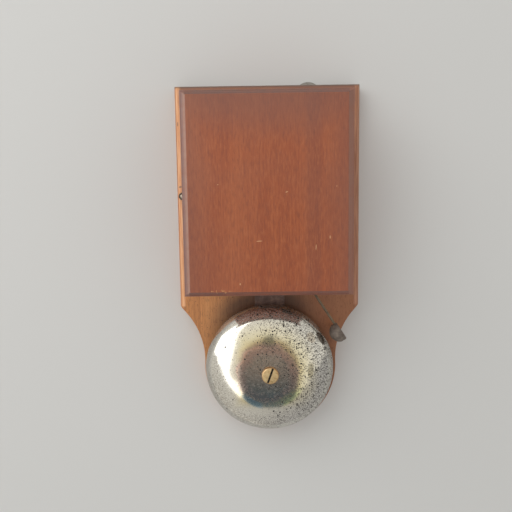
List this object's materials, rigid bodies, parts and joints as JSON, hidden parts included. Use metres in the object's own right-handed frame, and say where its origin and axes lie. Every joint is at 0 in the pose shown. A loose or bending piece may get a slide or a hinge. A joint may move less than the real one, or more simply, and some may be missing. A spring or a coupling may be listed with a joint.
{
  "type": "electric bell",
  "caption": "Wooden-cased trembler bell with a nickel-plated gong, a domed hammer on a wire rod, and an electromagnet with a contact screw under a lift-off cover.",
  "frame": {"origin": "middle of the bounding box's underside, with the bell lying on its back", "axes": "+Y towards the top of the bell as it hangs, +X to the right seen from the front, +Z out of the front"},
  "size_m": [0.108, 0.2096, 0.057],
  "materials": {
    "board_mahogany": "golden varnished mahogany, worn at the edges",
    "case_mahogany": "reddish French-polished mahogany",
    "nickel_plate": "polished nickel plate with fine black pits",
    "brass": "plain turned brass, dulled",
    "dark_iron": "black japanned iron, dull",
    "steel": "plain steel, dulled",
    "silver": "silver contact",
    "ebonite": "black ebonite",
    "green_silk": "silk-covered copper wire, close wound",
    "cotton_lead": "waxed cotton-covered wire"
  },
  "bodies": {
    "base": {"backboard": "board_mahogany", "hanger_plate": "steel", "hanger_screws": "steel", "gong": "nickel_plate", "gong_pillar": "steel", "gong_washer": "brass", "gong_screw": "brass", "base_frame": "dark_iron", "frame_screws": "steel", "yoke": "dark_iron", "yoke_screws": "steel", "core_lower": "dark_iron", "core_upper": "dark_iron", "core_screws": "steel", "bobbin_lower": "ebonite", "bobbin_upper": "ebonite", "winding_lower": "green_silk", "winding_upper": "green_silk", "spring_post": "dark_iron", "post_screws": "steel", "spring_clamp": "brass", "clamp_screws": "steel", "contact_pillar": "brass", "pillar_insulator": "ebonite", "pillar_bushes": "ebonite", "pillar_screws": "steel", "terminal_post_left": "brass", "terminal_post_right": "brass", "terminal_washers": "brass", "wire_terminal_coil": "cotton_lead", "wire_coil_link": "cotton_lead", "wire_coil_frame": "cotton_lead", "wire_contact_terminal": "cotton_lead"},
    "striker": {"armature": "dark_iron", "armature_spring": "steel", "contact_spring": "steel", "contact_disc": "silver", "armature_rivets": "brass", "hammer_rod": "steel", "hammer_head": "dark_iron"},
    "contact_tip": {"contact_tip": "silver"},
    "contact_screw": {"contact_screw": "brass"},
    "lock_nut": {"lock_nut": "brass"},
    "terminal_nut_left": {"terminal_nut_left": "brass"},
    "terminal_nut_right": {"terminal_nut_right": "brass"},
    "cover": {"cover_panel": "case_mahogany", "cover_wall_left": "case_mahogany", "cover_wall_right": "case_mahogany", "cover_wall_lower": "case_mahogany", "cover_wall_top": "case_mahogany", "cover_blocks": "case_mahogany", "cover_dowels": "brass", "cover_lug": "dark_iron", "lug_screws": "steel"},
    "cover_screw": {"cover_screw": "brass"}
  },
  "joints": [
    {"name": "armature_swing", "type": "hinge", "parent": "base", "child": "striker", "pos_m": [0.0173, 0.057, 0.0255], "axis": [0, 0, -1], "range_deg": [0, 1.6], "stiffness_Nm_per_rad": 0.3, "springref_deg": -1.72, "deforming": ["armature_spring"]},
    {"name": "contact_screw_travel", "type": "slide", "parent": "base", "child": "contact_tip", "axis": [1, 0, 0], "range_m": [0, 0.001]},
    {"name": "contact_screw_turn", "type": "hinge", "parent": "contact_tip", "child": "contact_screw", "pos_m": [0.0261, 0.014, 0.0255], "axis": [1, 0, 0], "range_deg": [0, 720]},
    {"name": "lock_nut_turn", "type": "hinge", "parent": "base", "child": "lock_nut", "pos_m": [0.0288, 0.014, 0.0255], "axis": [1, 0, 0], "range_deg": [0, 180]},
    {"name": "terminal_nut_left_rise", "type": "slide", "parent": "base", "child": "terminal_nut_left", "axis": [0, 0, 1], "range_m": [0, 0.006]},
    {"name": "terminal_nut_right_rise", "type": "slide", "parent": "base", "child": "terminal_nut_right", "axis": [0, 0, 1], "range_m": [0, 0.006]},
    {"name": "cover_lift", "type": "slide", "parent": "base", "child": "cover", "axis": [0, 0, 1], "range_m": [0, 0.06]},
    {"name": "cover_screw_rise", "type": "slide", "parent": "cover", "child": "cover_screw", "axis": [0, 0, 1], "range_m": [0, 0.007]}
  ],
  "couplings": [
    {"joint": "contact_screw_turn", "follows": "contact_screw_travel", "rad_per_m": 12566}
  ]
}
